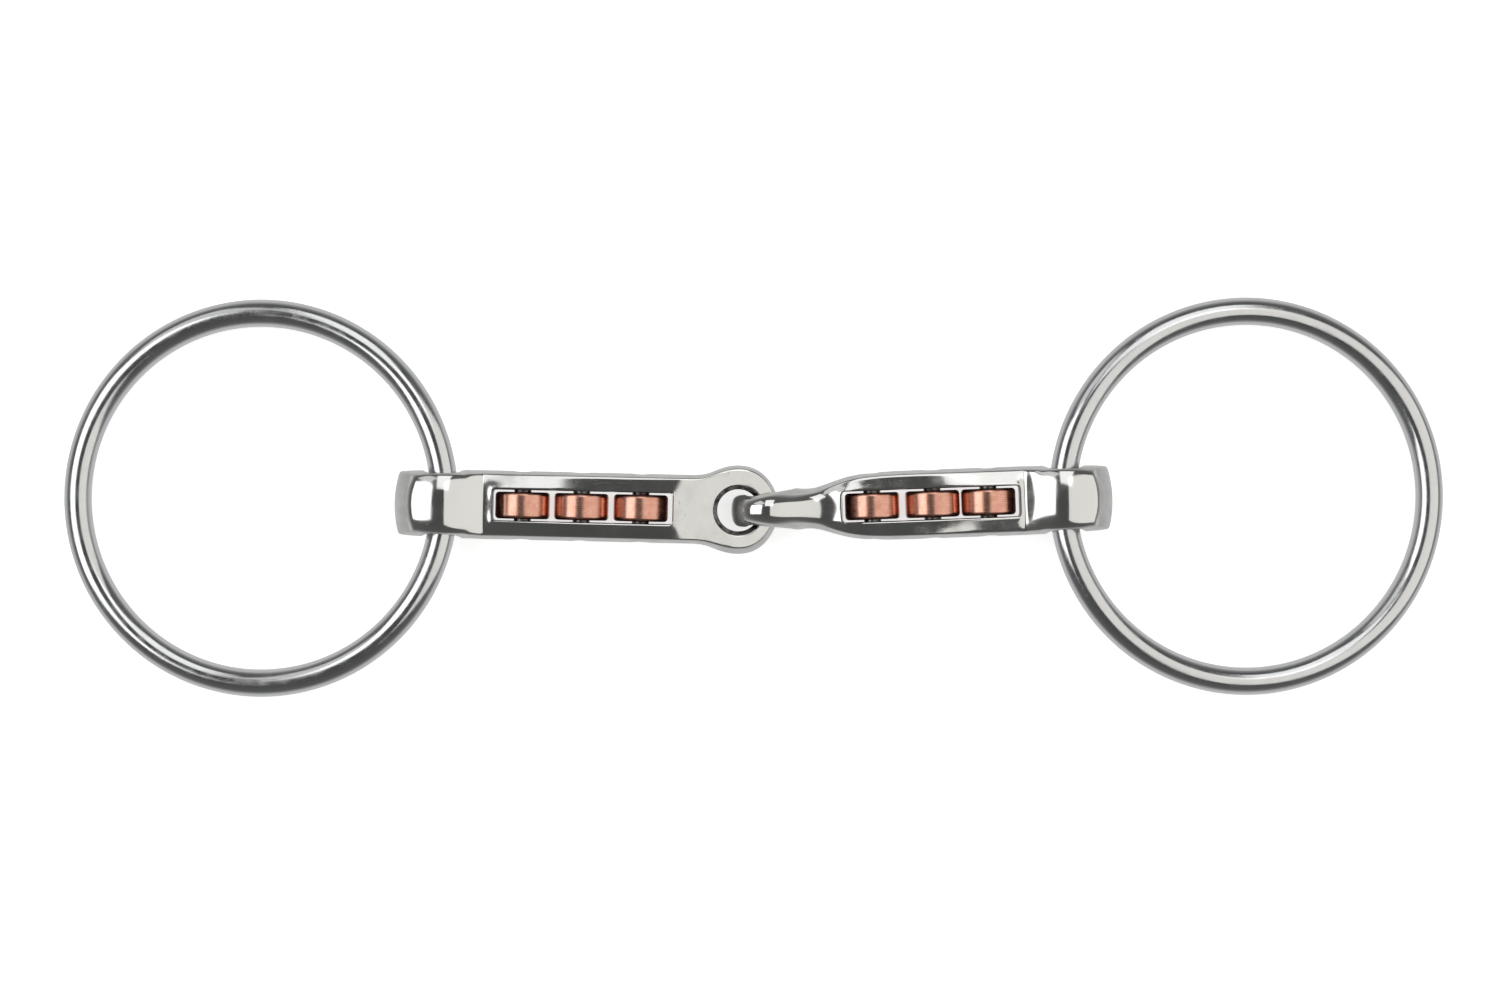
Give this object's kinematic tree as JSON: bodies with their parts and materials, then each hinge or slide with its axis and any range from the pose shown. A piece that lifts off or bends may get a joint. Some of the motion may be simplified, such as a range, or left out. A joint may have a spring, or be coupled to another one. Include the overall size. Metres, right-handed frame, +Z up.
{
  "type": "snaffle bit",
  "caption": "Loose-ring snaffle bit: two forged steel arms hooked together at the centre, copper rollers on pins in their slots, and a round wire ring through each end.",
  "frame": {"origin": "on the surface that the bit lies on, below the middle of its bounding box", "axes": "+X along the mouthpiece towards the right ring, +Y across it in the plane of the rings, +Z up, away from the surface"},
  "size_m": [0.2899, 0.0838, 0.0166],
  "materials": {
    "forged_steel": "mirror-polished stainless steel forging, side walls left matt",
    "ring_steel": "polished stainless wire with fine running scratches",
    "pin_steel": "drawn steel pin, ends ground flush",
    "copper": "turned copper, satin, darker at the rounded edges"
  },
  "bodies": {
    "left_arm": {"left_arm": "forged_steel", "left_pin_inner": "pin_steel", "left_pin_middle": "pin_steel", "left_pin_outer": "pin_steel"},
    "right_arm": {"right_arm": "forged_steel", "right_pin_inner": "pin_steel", "right_pin_middle": "pin_steel", "right_pin_outer": "pin_steel"},
    "left_ring": {"left_ring": "ring_steel"},
    "right_ring": {"right_ring": "ring_steel"},
    "left_roller_inner": {"left_roller_inner": "copper"},
    "left_roller_middle": {"left_roller_middle": "copper"},
    "left_roller_outer": {"left_roller_outer": "copper"},
    "right_roller_inner": {"right_roller_inner": "copper"},
    "right_roller_middle": {"right_roller_middle": "copper"},
    "right_roller_outer": {"right_roller_outer": "copper"}
  },
  "joints": [
    {"name": "centre_fold", "type": "hinge", "parent": "left_arm", "child": "right_arm", "pos_m": [0.00365, -0.00265, 0.0083], "axis": [-0.0366, 0.9993, 0], "range_deg": [-70, 70]},
    {"name": "left_ring_swing", "type": "hinge", "parent": "left_arm", "child": "left_ring", "pos_m": [-0.06498, -0.00135, 0.0083], "axis": [0.0297, 0.9996, 0], "range_deg": [-120, 120]},
    {"name": "right_ring_swing", "type": "hinge", "parent": "right_arm", "child": "right_ring", "pos_m": [0.06501, -0.0004, 0.0083], "axis": [-0.0157, 0.9999, 0], "range_deg": [-120, 120]},
    {"name": "left_roller_inner_spin", "type": "hinge", "parent": "left_arm", "child": "left_roller_inner", "pos_m": [-0.0236, -0.00229, 0.0083], "axis": [0.0227, 0.9997, 0], "continuous": true},
    {"name": "left_roller_middle_spin", "type": "hinge", "parent": "left_arm", "child": "left_roller_middle", "pos_m": [-0.03599, -0.00201, 0.0083], "axis": [0.0227, 0.9997, 0], "continuous": true},
    {"name": "left_roller_outer_spin", "type": "hinge", "parent": "left_arm", "child": "left_roller_outer", "pos_m": [-0.04829, -0.00173, 0.0083], "axis": [0.0227, 0.9997, 0], "continuous": true},
    {"name": "right_roller_inner_spin", "type": "hinge", "parent": "right_arm", "child": "right_roller_inner", "pos_m": [0.02484, -0.00187, 0.0083], "axis": [-0.0366, 0.9993, 0], "continuous": true},
    {"name": "right_roller_middle_spin", "type": "hinge", "parent": "right_arm", "child": "right_roller_middle", "pos_m": [0.03743, -0.00141, 0.0083], "axis": [-0.0366, 0.9993, 0], "continuous": true},
    {"name": "right_roller_outer_spin", "type": "hinge", "parent": "right_arm", "child": "right_roller_outer", "pos_m": [0.04912, -0.00098, 0.0083], "axis": [-0.0366, 0.9993, 0], "continuous": true}
  ]
}
